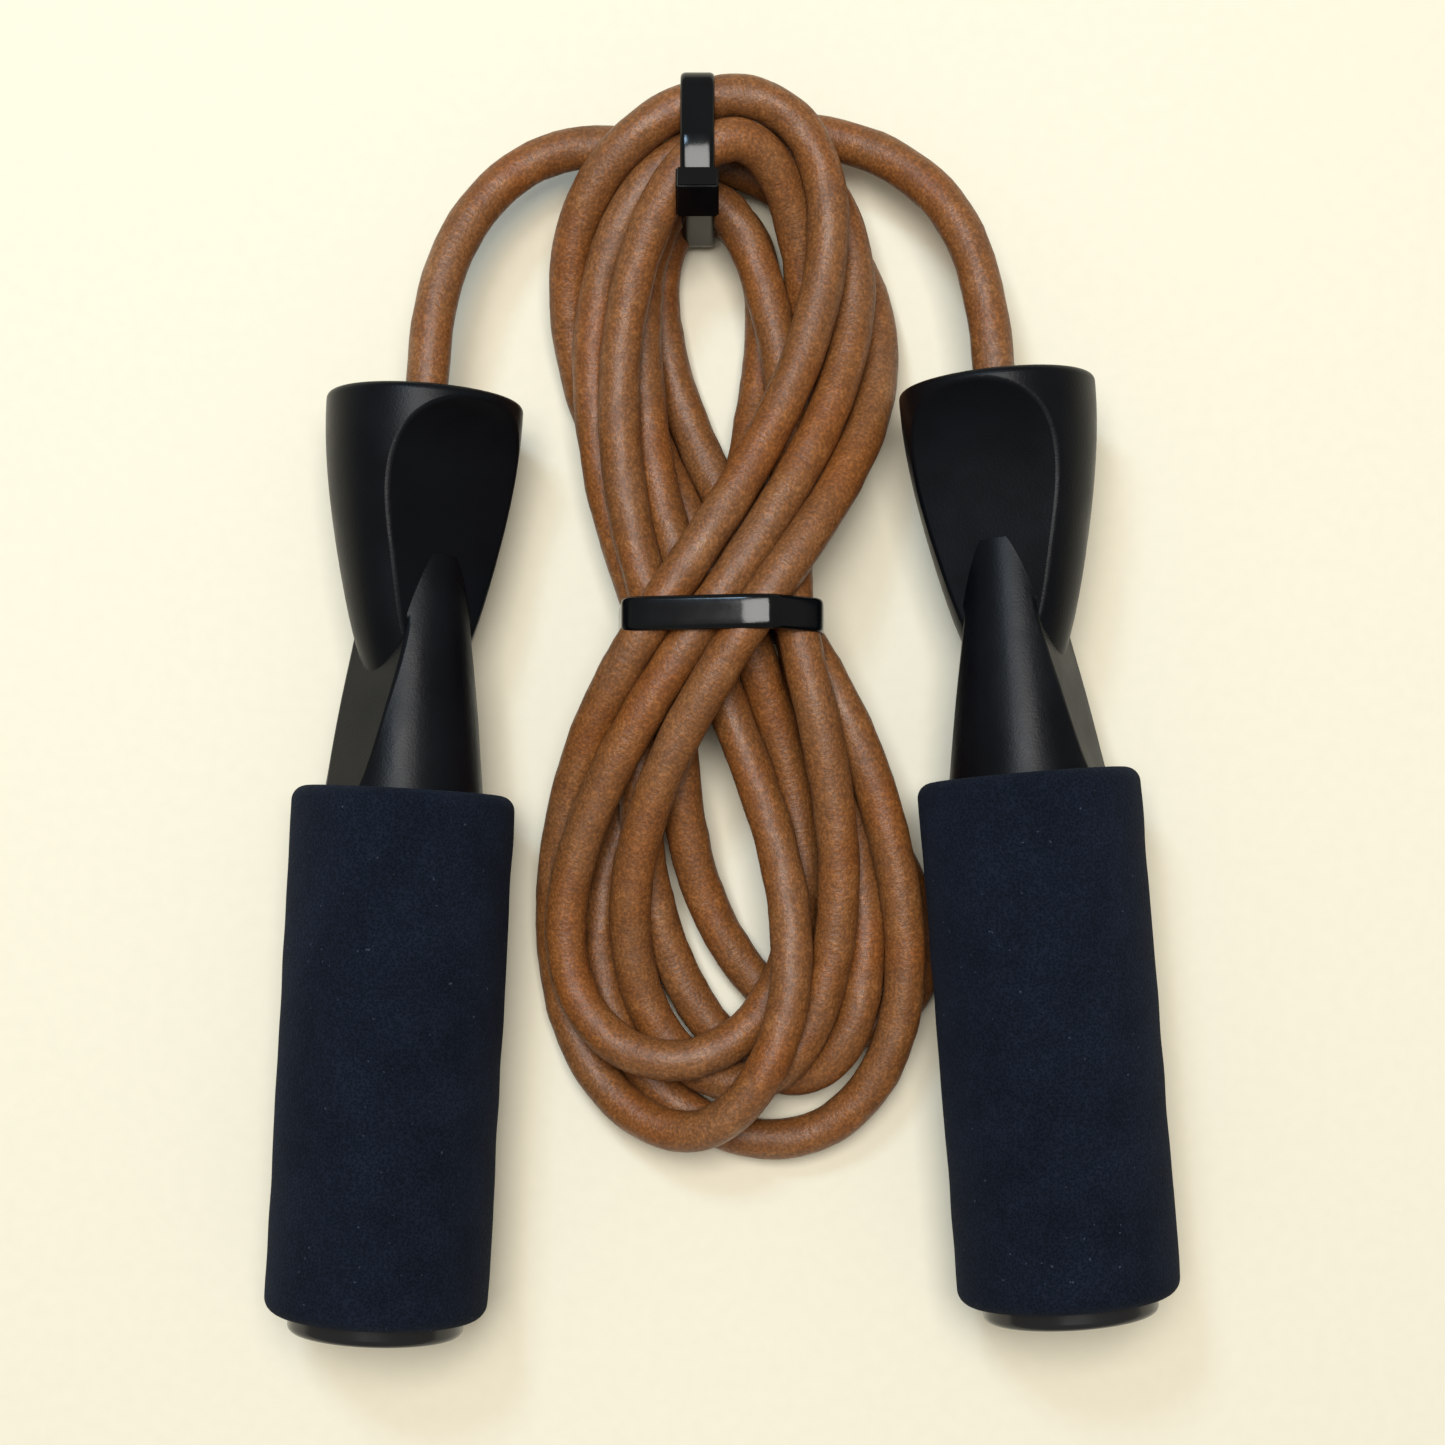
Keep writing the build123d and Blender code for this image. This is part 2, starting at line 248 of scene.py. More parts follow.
def across_waist(before, after, waist):
    """Three points over the waist, between the end of one lobe and the start of the next."""
    middle = np.array([waist[0], WAIST_Y, height_over_floor(waist[1], WAIST_Y)])
    return [middle + (np.array(before) - middle) / 2, middle, middle + (np.array(after) - middle) / 2]


def rope_points():
    """The whole rope's control points, from one handle through the hank's turns to the other."""
    half = LOBE_POINTS // 2
    first, last = UPPER_LOBES[0], UPPER_LOBES[-1]
    crossings = iter(CROSSINGS)
    crossing = next(crossings)
    points = list(LEFT_TAIL)
    points += lobe(crossing, crossing, first["out"], first["out"], first["tip"])[half:]
    for lower, upper in zip(LOWER_LOBES, UPPER_LOBES[1:]):
        following = next(crossings)
        turn = lobe(crossing, following, lower["in"], lower["out"], lower["tip"])
        points += across_waist(points[-1], turn[0], crossing) + turn
        crossing = following
        if upper is last:
            turn = lobe(crossing, crossing, last["in"], last["in"], last["tip"])[:half]
        else:
            following = next(crossings)
            turn = lobe(crossing, following, upper["in"], upper["out"], upper["tip"])
        points += across_waist(points[-1], turn[0], crossing) + turn
        crossing = following
    points += RIGHT_TAIL[::-1]
    return np.array([tuple(p) for p in points])


def closest(points, i, j):
    """Where segments i and j are nearest to each other: a place on each, and the way between."""
    along_i = points[i + 1] - points[i]
    along_j = points[j + 1] - points[j]
    between = points[i] - points[j]
    a = (along_i * along_i).sum(1)
    e = (along_j * along_j).sum(1)
    f = (along_j * between).sum(1)
    c = (along_i * between).sum(1)
    b = (along_i * along_j).sum(1)
    spread = a * e - b * b
    s = np.clip(np.where(spread > 1e-9, (b * f - c * e) / np.maximum(spread, 1e-9), 0.0), 0, 1)
    t_free = (b * s + f) / e
    t = np.clip(t_free, 0, 1)
    s = np.where(t_free != t, np.clip((t * b - c) / a, 0, 1), s)
    return s, t, (points[i] + s[:, None] * along_i) - (points[j] + t[:, None] * along_j)


def handle_axes():
    """The middle of each handle's rim and the way that its axis points, out of the rim, in mm."""
    axes = {}
    for joint in frame["record"]["behaviour"]["joints"]:
        if joint["name"].endswith("handle_spin"):
            out = np.array(joint["axis"], float)
            axes[joint["child"]] = (np.array(joint["pos_m"]) / MM + out * BEARING_MIDDLE, out)
    return axes


def push_apart(points, i, j, free):
    """Moves the segment pairs that lie in each other towards just touching."""
    s, t, between = closest(points, i, j)
    gap = np.linalg.norm(between, axis=1)
    hit = np.nonzero(gap < ROPE_D * TOUCHING)[0]
    if not len(hit):
        return
    distance = np.maximum(gap[hit], 1e-3)
    push = (0.5 * (ROPE_D - distance) / distance)[:, None] * between[hit]
    moves = np.zeros_like(points)
    shares = np.zeros(len(points))
    ends = [
        (i[hit], 1 - s[hit], 1),
        (i[hit] + 1, s[hit], 1),
        (j[hit], 1 - t[hit], -1),
        (j[hit] + 1, t[hit], -1),
    ]
    for index, weight, sign in ends:
        np.add.at(moves, index, sign * push * weight[:, None])
        np.add.at(shares, index, weight)
    points += moves / np.maximum(shares, 1)[:, None] * free[:, None] * PUSH


def even_out(points):
    """How the points move to spread each bend along the rope."""
    bend = np.zeros_like(points)
    bend[1:-1] = (points[:-2] + points[2:]) / 2 - points[1:-1]
    change = np.zeros_like(points)
    change[2:-2] = (bend[1:-3] + bend[3:-1]) / 2 - bend[2:-2]
    return -SMOOTHING * change


def stiffen(points):
    """How the points move where the rope is bent more tightly than it can be."""
    chord = points[2:] - points[:-2]
    length = np.linalg.norm(chord, axis=1)[:, None]
    bend = (points[2:] + points[:-2]) / 2 - points[1:-1]
    bend -= chord * (bend * chord).sum(1)[:, None] / length**2
    size = np.maximum(np.linalg.norm(bend, axis=1)[:, None], 1e-6)
    excess = np.zeros_like(points)
    excess[1:-1] = np.maximum(1 - length**2 / (8 * TIGHTEST_BEND) / size, 0) * bend / 3
    moves = excess.copy()
    moves[:-1] -= excess[1:] / 2
    moves[1:] -= excess[:-1] / 2
    return moves


def keep_length(points, rest, free):
    """Pulls each run of the rope back towards the length that it had at first."""
    runs = np.diff(points, axis=0)
    length = np.linalg.norm(runs, axis=1)
    pull = (KEEP_LENGTH * (length - rest) / length)[:, None] * runs
    points[:-1] += pull * free[:-1, None]
    points[1:] -= pull * free[1:, None]


def lowest_heights(points):
    """How low each point may lie: on the floor, on the waist tie's head or on the top tie's strap."""
    waisted = HEAD_ROOM_FULLNESS * np.exp(-(((points[:, 1] - WAIST_Y) / HEAD_ROOM_LENGTH) ** 2))
    beside_top_tie = np.abs(points[:, 0] - TOP_TIE_X) < STRAP_ROOM_REACH
    in_top_tie = beside_top_tie & (points[:, 1] > STRAP_ROOM_FROM_Y)
    return ROPE_R + FLOOR_GAP + HEAD_ROOM * np.minimum(waisted, 1) + STRAP_ROOM * in_top_tie


def clear_handles(points, free, axes):
    """Moves the points that lie in a handle's rim or foam grip out of it."""
    for rim, out in axes.values():
        depth = -(points - rim) @ out
        away = points - rim + depth[:, None] * out
        distance = np.linalg.norm(away, axis=1)
        keep = np.where(depth > FOAM_START, FOAM_R, RIM_R) + ROPE_R + HANDLE_GAP
        inside = (distance < keep) & (depth > 0) & (free > 0)
        points[inside] += away[inside] * (keep / np.maximum(distance, 1e-3) - 1)[inside, None]


def settle(points):
    """Lets the turns sink onto the floor and each other, at their own length, clear of the rest."""
    home = points.copy()
    rest = np.linalg.norm(np.diff(points, axis=0), axis=1)
    free = np.ones(len(points))
    free[:FIXED_POINTS] = 0
    free[-FIXED_POINTS:] = 0
    first, second = np.triu_indices(len(points) - 1, NEIGHBOURS)
    axes = handle_axes()
    for step in range(SETTLE_STEPS):
        if step < SETTLE_STEPS - LOOSEN_STEPS:
            points[:, 2] -= GRAVITY * free
            points[:, :2] += PULL_HOME * (home[:, :2] - points[:, :2]) * free[:, None]
        points += even_out(points) * free[:, None]
        points += stiffen(points) * free[:, None]
        if step % STEPS_BETWEEN_LOOKS == 0:
            near = np.abs(points[first] - points[second]).max(1) < NEAR
        for _ in range(PUSHES):
            push_apart(points, first[near], second[near], free)
        keep_length(points, rest, free)
        raised = np.maximum(points[:, 2], lowest_heights(points))
        points[:, 2] = np.where(free > 0, raised, points[:, 2])
        clear_handles(points, free, axes)
        at_waist = (np.abs(points[:, 1] - WAIST_Y) < WAIST_LENGTH) & (free > 0)
        points[:, 0] = np.where(at_waist, np.clip(points[:, 0], *WAIST_LIMITS), points[:, 0])
    return points


def smooth_line(name, points):
    """The NURBS spline through a piece's control points, in metres, and the points along it."""
    curve = bpy.data.curves.new(name, "CURVE")
    curve.dimensions = "3D"
    spline = curve.splines.new("NURBS")
    spline.points.add(len(points) - 1)
    for place, point in zip(spline.points, points):
        place.co = (*(float(v) * MM for v in point), 1.0)
    spline.order_u = 3
    spline.use_endpoint_u = True
    spline.resolution_u = CURVE_STEPS
    holder = bpy.data.objects.new(name, curve)
    mesh = bpy.data.meshes.new_from_object(holder)
    line = np.array([v.co[:] for v in mesh.vertices])
    bpy.data.meshes.remove(mesh)
    bpy.data.objects.remove(holder)
    bpy.data.curves.remove(curve)
    return line


def add_object(name, mesh, smooth=True):
    piece = bpy.data.objects.new(name, mesh)
    bpy.context.scene.collection.objects.link(piece)
    if smooth:
        mesh.shade_smooth()
    return piece


def rope_tube(name, line):
    """A mesh tube along the line, with the slight unevenness of cut and rolled leather."""
    ahead = np.gradient(line, axis=0)
    ahead /= np.linalg.norm(ahead, axis=1)[:, None]
    side = np.zeros_like(line)
    across = np.cross(ahead[0], (0, 0, 1))
    for i, direction in enumerate(ahead):
        across = across - direction * across.dot(direction)
        across /= np.linalg.norm(across)
        side[i] = across
    up = np.cross(ahead, side)
    along = np.concatenate([[0], np.cumsum(np.linalg.norm(np.diff(line, axis=0), axis=1))])

    turn = np.arange(ROPE_SIDES) * 2 * pi / ROPE_SIDES
    s, a = np.meshgrid(along, turn, indexing="ij")
    radius = np.full(s.shape, ROPE_R * MM)
    draw = np.random.RandomState(ROPE_SEED)
    for size, shortest, longest, lobes in ROPE_WAVES:
        for _ in range(WAVES_OF_EACH):
            wave = draw.uniform(shortest, longest) * MM
            count = draw.randint(0, lobes + 1)
            phase = draw.uniform(0, 2 * pi, 2)
            radius += size * MM * np.sin(2 * pi * s / wave + phase[0]) * np.cos(count * a + phase[1])
    offset = np.cos(a)[..., None] * side[:, None] + np.sin(a)[..., None] * up[:, None]
    places = line[:, None] + radius[..., None] * offset

    rings, sides = s.shape
    vertices = np.concatenate([places.reshape(-1, 3), line[[0, -1]]])
    faces = []
    for ring in range(rings - 1):
        for k in range(sides):
            after = (k + 1) % sides
            faces.append((ring * sides + k, ring * sides + after,
                          (ring + 1) * sides + after, (ring + 1) * sides + k))
    start, end = rings * sides, rings * sides + 1
    for k in range(sides):
        after = (k + 1) % sides
        faces.append((start, after, k))
        faces.append((end, (rings - 1) * sides + k, (rings - 1) * sides + after))
    mesh = bpy.data.meshes.new(name)
    mesh.from_pydata(vertices.tolist(), [], faces)
    strand = np.stack([s, ROPE_R * MM * np.cos(a), ROPE_R * MM * np.sin(a)], axis=-1).reshape(-1, 3)
    strand = np.concatenate([strand, [[along[0], 0, 0], [along[-1], 0, 0]]])
    layer = mesh.attributes.new("strand", "FLOAT_VECTOR", "POINT")
    layer.data.foreach_set("vector", strand.ravel())
    mesh.validate()
    return add_object(name, mesh)


# ---- materials ----

def add_node(tree, kind, inputs=None, **settings):
    """A shader node with its settings, and its inputs either linked or given a value."""
    node = tree.nodes.new("ShaderNode" + kind)
    for key, value in settings.items():
        setattr(node, key, value)
    for key, value in (inputs or {}).items():
        socket = node.inputs[key]
        if isinstance(value, bpy.types.NodeSocket):
            tree.links.new(value, socket)
        else:
            socket.default_value = value
    return node


def noise(tree, place, scale, detail=3.0, roughness=0.5, distortion=0.0):
    made = add_node(tree, "TexNoise", {"Vector": place, "Scale": scale, "Detail": detail,
                                       "Roughness": roughness, "Distortion": distortion})
    return made.outputs["Fac"]


def ramp(tree, value, stops):
    made = add_node(tree, "ValToRGB", {"Fac": value})
    elements = made.color_ramp.elements
    while len(elements) < len(stops):
        elements.new(0.5)
    for element, (position, colour) in zip(elements, stops):
        element.position = position
        element.color = (*colour, 1.0) if hasattr(colour, "__len__") else (colour,) * 3 + (1.0,)
    return made.outputs["Color"]


def blend(tree, factor, first, second, mode="MIX"):
    made = add_node(tree, "Mix", data_type="RGBA", blend_type=mode)
    for index, value in ((0, factor), (6, first), (7, second)):
        socket = made.inputs[index]
        if isinstance(value, bpy.types.NodeSocket):
            tree.links.new(value, socket)
        else:
            socket.default_value = (*value, 1.0) if hasattr(value, "__len__") else value
    return made.outputs[2]


def bump(tree, height, distance, normal=None):
    inputs = {"Height": height, "Distance": distance, "Strength": 1.0}
    if normal is not None:
        inputs["Normal"] = normal
    return add_node(tree, "Bump", inputs).outputs["Normal"]


def material(name, **constants):
    """A new material with a Principled shader, whose constant values are set on its sockets."""
    made = bpy.data.materials.new(name)
    made.use_nodes = True
    tree = made.node_tree
    tree.nodes.clear()
    shader = tree.nodes.new("ShaderNodeBsdfPrincipled")
    output = tree.nodes.new("ShaderNodeOutputMaterial")
    tree.links.new(shader.outputs["BSDF"], output.inputs["Surface"])
    for key, value in constants.items():
        shader.inputs[key.replace("_", " ")].default_value = value
    return made, tree, shader


def scaled(tree, place, by):
    made = add_node(tree, "VectorMath", operation="MULTIPLY")
    tree.links.new(place, made.inputs[0])
    made.inputs[1].default_value = by
    return made.outputs[0]


def object_place(tree):
    return add_node(tree, "TexCoord").outputs["Object"]


def leather_material():
    """Oiled saddle-brown leather: mottled, finely grained and creased across."""
    made, tree, shader = material("leather", IOR=1.5, Specular_IOR_Level=0.38)
    strand = add_node(tree, "Attribute", attribute_name="strand").outputs["Vector"]
    blotch = noise(tree, strand, 38, 3, 0.55)
    mottle = noise(tree, strand, 260, 5, 0.58, 0.3)
    grain = noise(tree, strand, 1900, 3, 0.6)
    creases = noise(tree, scaled(tree, strand, (1500, 260, 260)), 1.0, 3, 0.6)
    pores = add_node(tree, "TexVoronoi", {"Vector": strand, "Scale": 1700.0}).outputs["Distance"]

    colour = ramp(tree, mottle, [(0.30, (0.105, 0.034, 0.008)), (0.48, (0.158, 0.056, 0.014)),
                                 (0.62, (0.208, 0.082, 0.024)), (0.78, (0.290, 0.138, 0.056))])
    tint = ramp(tree, blotch, [(0.36, (0.205, 0.059, 0.008)), (0.52, (0.168, 0.063, 0.017)),
                               (0.68, (0.180, 0.082, 0.034))])
    colour = blend(tree, 0.5, colour, tint)
    speck = ramp(tree, grain, [(0.34, 0.68), (0.52, 1.0), (0.68, 1.50)])
    colour = blend(tree, 1.0, colour, speck, "MULTIPLY")
    pit = ramp(tree, pores, [(0.06, 0.7), (0.28, 1.0)])
    colour = blend(tree, 0.7, colour, pit, "MULTIPLY")
    tree.links.new(colour, shader.inputs["Base Color"])

    shine = ramp(tree, mottle, [(0.35, 0.52), (0.65, 0.38)])
    tree.links.new(shine, shader.inputs["Roughness"])
    rough = bump(tree, mottle, 0.00018)
    rough = bump(tree, creases, 0.00010, rough)
    rough = bump(tree, grain, 0.00012, rough)
    rough = bump(tree, pit, 0.00004, rough)
    tree.links.new(rough, shader.inputs["Normal"])
    return made


def foam_material():
    """Black closed-cell foam: fine open pores over a soft, slightly dusty skin."""
    made, tree, shader = material("foam", IOR=1.35, Specular_IOR_Level=0.10, Sheen_Weight=0.02,
                                  Sheen_Roughness=0.6, Sheen_Tint=(0.55, 0.66, 1.0, 1.0))
    place = object_place(tree)
    cells = add_node(tree, "TexVoronoi", {"Vector": place, "Scale": 2400.0}).outputs["Distance"]
    fine = noise(tree, place, 3200, 2, 0.6)
    patches = noise(tree, place, 110, 4, 0.6)
    dust = noise(tree, place, 1100, 1, 0.5)
    colour = ramp(tree, cells, [(0.0, (0.0015, 0.0025, 0.0050)), (0.35, (0.0035, 0.0055, 0.0100)),
                                (0.75, (0.0065, 0.0095, 0.0170))])
    speck = ramp(tree, dust, [(0.76, (0.0, 0.0, 0.0)), (0.80, (0.03, 0.036, 0.048))])
    colour = blend(tree, 1.0, colour, speck, "ADD")
    worn = ramp(tree, patches, [(0.35, 0.8), (0.65, 1.25)])
    colour = blend(tree, 1.0, colour, worn, "MULTIPLY")
    tree.links.new(colour, shader.inputs["Base Color"])
    tree.links.new(ramp(tree, fine, [(0.3, 0.86), (0.7, 0.98)]), shader.inputs["Roughness"])
    rough = bump(tree, cells, 0.00016)
    rough = bump(tree, fine, 0.00008, rough)
    rough = bump(tree, patches, 0.00008, rough)
    tree.links.new(rough, shader.inputs["Normal"])
    return made


def plastic_material(name, colour, roughness, texture, depth, specular=0.5):
    """Moulded black plastic with a fine spark-eroded texture and uneven gloss."""
    made, tree, shader = material(name, IOR=1.5, Specular_IOR_Level=specular)
    place = object_place(tree)
    fine = noise(tree, place, texture, 2, 0.6)
    broad = noise(tree, place, 90, 3, 0.5)
    low, high = roughness
    tree.links.new(ramp(tree, broad, [(0.35, low), (0.65, high)]), shader.inputs["Roughness"])
    darker = tuple(0.8 * c for c in colour)
    lighter = tuple(1.2 * c for c in colour)
    tone = ramp(tree, broad, [(0.3, darker), (0.7, lighter)])
    tree.links.new(tone, shader.inputs["Base Color"])
    tree.links.new(bump(tree, fine, depth), shader.inputs["Normal"])
    return made


def metal_material(name, colour, roughness, stretch):
    """Machined metal: fine turning marks that vary its gloss."""
    made, tree, shader = material(name, Metallic=1.0)
    marks = noise(tree, scaled(tree, object_place(tree), stretch), 1.0, 3, 0.6)
    low, high = roughness
    tree.links.new(ramp(tree, marks, [(0.3, low), (0.7, high)]), shader.inputs["Roughness"])
    tone = ramp(tree, marks, [(0.3, tuple(0.85 * c for c in colour)), (0.7, colour)])
    tree.links.new(tone, shader.inputs["Base Color"])
    tree.links.new(bump(tree, marks, 0.00001), shader.inputs["Normal"])
    return made


MATERIALS = {
    "rope_leather": leather_material(),
    "grip_foam": foam_material(),
    "shell_plastic": plastic_material("shell_plastic", (0.0016, 0.0022, 0.0034), (0.34, 0.44), 2400,
                                      0.00003, 0.14),
    "cap_plastic": plastic_material("cap_plastic", (0.006, 0.006, 0.007), (0.16, 0.26), 600, 0.00001),
    "tie_nylon": plastic_material("tie_nylon", (0.0018, 0.0022, 0.0028), (0.13, 0.2), 500, 0.00001, 0.25),
    "race_steel": metal_material("race_steel", (0.56, 0.57, 0.58), (0.22, 0.36), (900, 3000, 900)),
    "ball_steel": metal_material("ball_steel", (0.72, 0.73, 0.75), (0.06, 0.12), (400, 400, 400)),
    "cage_brass": metal_material("cage_brass", (0.62, 0.45, 0.18), (0.25, 0.4), (900, 900, 900)),
    "bush_nylon": plastic_material("bush_nylon", (0.72, 0.70, 0.63), (0.4, 0.5), 800, 0.00002),
    "washer_steel": metal_material("washer_steel", (0.60, 0.60, 0.58), (0.28, 0.42), (1500, 1500, 1500)),
}


def paint(piece, slot):
    """Gives a new piece the material of the record's slot that it stands for."""
    piece.data.materials.append(MATERIALS[slot])


# ---- foam grips ----

def grip_sleeve(name, rim, out):
    """A foam sleeve round a handle: soft rounded ends and a skin that isn't quite even."""
    rounding = [(FOAM_R - FOAM_ROUND * (1 - sin(t)), FOAM_ROUND * (1 - cos(t)))
                for t in np.radians(np.linspace(0, 90, FOAM_ROUND_STEPS))]
    near_end = [(FOAM_BORE_R, FOAM_BORE_EDGE)] + [(r, 0.0) for r in FOAM_FACE_RINGS] + rounding
    length = FOAM_END - FOAM_START
    middle = [(FOAM_R, d) for d in np.linspace(FOAM_ROUND + 1, length - FOAM_ROUND - 1, FOAM_RINGS)]
    profile = near_end + middle + [(r, length - d) for r, d in near_end[::-1]]

    out = Vector(out)
    across = out.cross(Vector((0, 0, 1))).normalized()
    up = across.cross(out).normalized()
    rim = Vector(rim)
    draw = np.random.RandomState(FOAM_SEED)
    waves = [(draw.uniform(*FOAM_WAVE_LENGTHS), draw.randint(0, FOAM_WAVE_LOBES),
              draw.uniform(0, 2 * pi), draw.uniform(0, 2 * pi)) for _ in range(FOAM_WAVES)]
    mesh = bpy.data.meshes.new(name)
    vertices = []
    for r, depth in profile:
        for k in range(FOAM_SIDES):
            angle = 2 * pi * k / FOAM_SIDES
            uneven = sum(sin(2 * pi * depth / wave + p) * cos(count * angle + q)
                         for wave, count, p, q in waves)
            radius = r
            if r > FOAM_R - FOAM_ROUND:
                radius += FOAM_WAVE_DEPTH * uneven - FOAM_SINK
            place = rim - out * (FOAM_START + depth) + (across * cos(angle) + up * sin(angle)) * radius
            vertices.append(place * MM)
    faces = []
    rings = len(profile)
    for ring in range(rings):
        start = ring * FOAM_SIDES
        following = (ring + 1) % rings * FOAM_SIDES
        for k in range(FOAM_SIDES):
            after = (k + 1) % FOAM_SIDES
            faces.append((start + k, start + after, following + after, following + k))
    mesh.from_pydata([v[:] for v in vertices], [], faces)
    mesh.validate()
    return add_object(name, mesh)


# ---- cable ties ----

def strap_outline(centres):
    """The tight line round rope sections of these centres: (point, outward normal) pairs."""
    outline = []
    for angle in np.linspace(0, 2 * pi, TIE_STEPS, endpoint=False):
        normal = np.array([cos(angle), sin(angle)])
        furthest = centres[np.argmax(centres @ normal)]
        outline.append((furthest + normal * (ROPE_R - TIE_PRESS), normal))
    return outline


def strap_section():
    """The strap's section, over the top from one edge and back under it: (across, outward) pairs."""
    edge = [(TIE_WIDTH / 2 - inward, TIE_THICKNESS - down) for inward, down in TIE_EDGE]
    far_edge = [(-across, outward) for across, outward in edge]
    return far_edge + [(0.0, TIE_THICKNESS)] + edge[::-1] + [(across, 0.0) for across in TIE_UNDERSIDE]


def cable_tie(name, line, middle, axis, first, second, inside, head_angle):
    """A strap drawn tight round the rope sections in a slab, with its ratchet head and trimmed end."""
    axis, first, second = Vector(axis), Vector(first), Vector(second)
    picked = [p for p in line / MM if abs(Vector(p).dot(axis) - middle) < TIE_WIDTH / 2 and inside(p)]
    centres = np.array([[Vector(p).dot(first), Vector(p).dot(second)] for p in picked])
    section = strap_section()
    builder = bmesh.new()
    rings = []
    for point, normal in strap_outline(centres):
        ring = []
        for across, outward in section:
            flat = point + normal * outward
            place = first * flat[0] + second * flat[1] + axis * (middle + across)
            ring.append(builder.verts.new(place * MM))
        rings.append(ring)
    for ring, after in zip(rings, rings[1:] + rings[:1]):
        for k in range(len(ring)):
            following = (k + 1) % len(ring)
            builder.faces.new((ring[k], ring[following], after[following], after[k]))

    normal = np.array([cos(head_angle), sin(head_angle)])
    reach = centres @ normal
    touching = centres[reach > reach.max() - HEAD_CONTACT]
    foot = touching.mean(axis=0)
    foot = foot + normal * (reach.max() + ROPE_R - TIE_PRESS - foot @ normal)
    outward = first * normal[0] + second * normal[1]
    along = axis.cross(outward)
    where = Matrix((along, axis, outward)).transposed().to_4x4()
    where.translation = (first * foot[0] + second * foot[1] + axis * middle) * MM
    add_tie_head(builder, where)
    bmesh.ops.recalc_face_normals(builder, faces=builder.faces)
    mesh = bpy.data.meshes.new(name)
    builder.to_mesh(mesh)
    builder.free()
    tie = add_object(name, mesh)
    smooth_by_angle(tie, TIE_SHARP)
    return tie


def add_tie_head(builder, where):
    """The ratchet head: a rounded block with a slot, and the cut end of the strap in the slot.

    It is made with its foot at the origin, and then moved to where it belongs.
    """
    along, across, thick = TIE_HEAD
    made = bmesh.ops.create_cube(builder, size=1.0)["verts"]
    for v in made:
        v.co = Vector((v.co.x * along, v.co.y * across, (v.co.z + 0.5) * thick)) * MM
    faces = {f for v in made for f in v.link_faces}
    end = max(faces, key=lambda f: f.calc_center_median().x)
    bmesh.ops.inset_individual(builder, faces=[end], thickness=SLOT_WALL * MM)
    pushed = bmesh.ops.extrude_discrete_faces(builder, faces=[end])["faces"][0]
    bmesh.ops.translate(builder, verts=pushed.verts, vec=Vector((-SLOT_DEPTH * MM, 0, 0)))
    block = set(made) | set(pushed.verts) | {v for f in faces if f.is_valid for v in f.verts}
    stub = bmesh.ops.create_cube(builder, size=1.0)["verts"]
    for v in stub:
        v.co = Vector((v.co.x * STUB_LENGTH + along / 2 - STUB_INSET,
                       v.co.y * (TIE_WIDTH - STUB_NARROWING),
                       v.co.z * TIE_THICKNESS + thick / 2)) * MM
    edges = {e for v in block | set(stub) if v.is_valid for e in v.link_edges}
    sharp = [e for e in edges if len(e.link_faces) == 2 and e.calc_face_angle(0) > radians(HEAD_SHARP)]
    rounded = bmesh.ops.bevel(builder, geom=sharp, offset=HEAD_BEVEL * MM, segments=HEAD_BEVEL_STEPS,
                              affect="EDGES")
    moved = set(rounded["verts"]) | {v for v in block | set(stub) if v.is_valid}
    moved |= {v for f in rounded["faces"] for v in f.verts}
    bmesh.ops.transform(builder, matrix=where, verts=list(moved))


def smooth_by_angle(piece, degrees):
    """Smooth shading, with sharp edges where faces meet at more than this angle."""
    mesh = piece.data
    builder = bmesh.new()
    builder.from_mesh(mesh)
    for edge in builder.edges:
        edge.smooth = not (len(edge.link_faces) == 2 and edge.calc_face_angle(0) > radians(degrees))
    builder.to_mesh(mesh)
    builder.free()


# ---- camera, light and floor ----

def add_camera():
    camera = bpy.data.objects.new("camera", bpy.data.cameras.new("camera"))
    camera.data.lens = CAMERA_LENS
    camera.data.sensor_width = 36.0
    camera.data.shift_y = CAMERA_SHIFT
    camera.location = (0, CAMERA_Y, CAMERA_HEIGHT)
    bpy.context.scene.collection.objects.link(camera)
    bpy.context.scene.camera = camera


def add_light(name, place, target, size, power, colour):
    light = bpy.data.lights.new(name, "AREA")
    light.shape = "RECTANGLE"
    light.size, light.size_y = size
    light.energy = power
    light.color = colour
    holder = bpy.data.objects.new(name, light)
    holder.location = place
    holder.rotation_euler = (Vector(target) - Vector(place)).to_track_quat("-Z", "Y").to_euler()
    bpy.context.scene.collection.objects.link(holder)


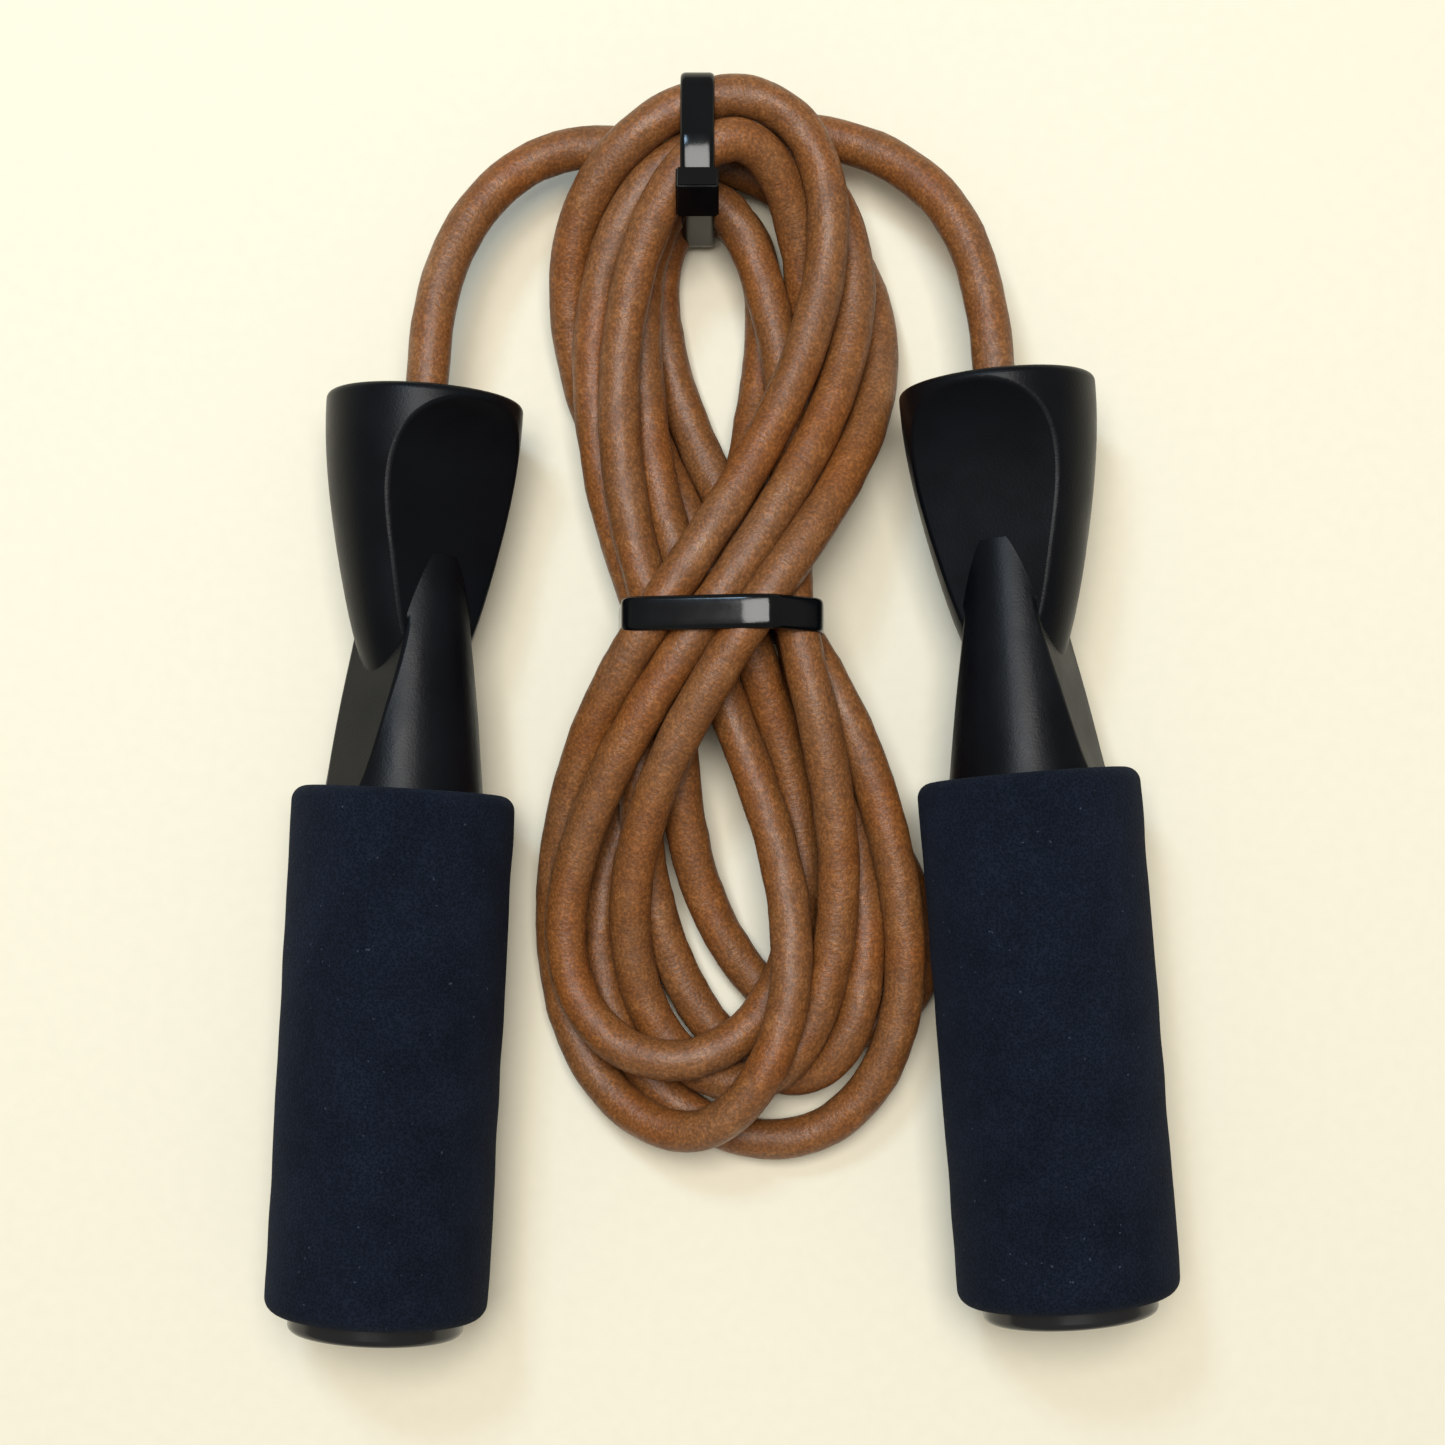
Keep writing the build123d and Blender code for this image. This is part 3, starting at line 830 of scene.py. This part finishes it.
def add_stage():
    """A plain pale floor under a pale sky."""
    mesh = bpy.data.meshes.new("floor")
    corners = [(x * FLOOR_HALF, y * FLOOR_HALF, 0) for x, y in ((-1, -1), (1, -1), (1, 1), (-1, 1))]
    mesh.from_pydata(corners, [], [(0, 1, 2, 3)])
    floor = add_object("floor", mesh, smooth=False)
    floor.location.z = FLOOR_Z
    made, tree, shader = material("floor", Roughness=0.9, Specular_IOR_Level=0.0)
    grain = noise(tree, object_place(tree), 400, 2, 0.5)
    tone = ramp(tree, grain, [(0.3, FLOOR_DARKER), (0.7, FLOOR_LIGHTER)])
    tree.links.new(tone, shader.inputs["Base Color"])
    floor.data.materials.append(made)
    world = bpy.data.worlds.new("sky")
    world.use_nodes = True
    background = world.node_tree.nodes["Background"]
    background.inputs["Color"].default_value = SKY_COLOUR
    background.inputs["Strength"].default_value = SKY_STRENGTH
    bpy.context.scene.world = world
    bpy.context.scene.view_settings.view_transform = "Standard"


add_camera()
add_stage()
for name, light in LIGHTS.items():
    add_light(name, **light)

control = settle(rope_points())
line = smooth_line("rope_line", control)
rope = rope_tube("leather_rope", line)
paint(rope, "rope_leather")
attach(rope, "rope")
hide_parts("rope_left_tail", "rope_hank", "rope_right_tail")

top_tie = cable_tie("top_tie_strap", line, TOP_TIE_X, (1, 0, 0), (0, 1, 0), (0, 0, 1),
                    lambda p: p[1] > TOP_TIE_FROM_Y, radians(TOP_HEAD_ANGLE))
waist_tie = cable_tie("waist_tie_strap", line, WAIST_Y, (0, 1, 0), (1, 0, 0), (0, 0, 1),
                      lambda p: abs(p[0]) < WAIST_TIE_REACH, radians(WAIST_HEAD_ANGLE))
for tie, node in ((top_tie, "top_tie"), (waist_tie, "waist_tie")):
    paint(tie, "tie_nylon")
    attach(tie, "rope")
    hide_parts(node)

for body, (rim, out) in handle_axes().items():
    side = body.split("_")[0]
    sleeve = grip_sleeve(f"{side}_grip_sleeve", rim, out)
    paint(sleeve, "grip_foam")
    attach(sleeve, body)
    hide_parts(f"{side}_foam_grip")

for part in frame["record"]["subparts"]:
    node = frame["nodes"][part["node"]]
    for slot in node.material_slots:
        slot.material = MATERIALS[part["material_slot"]]
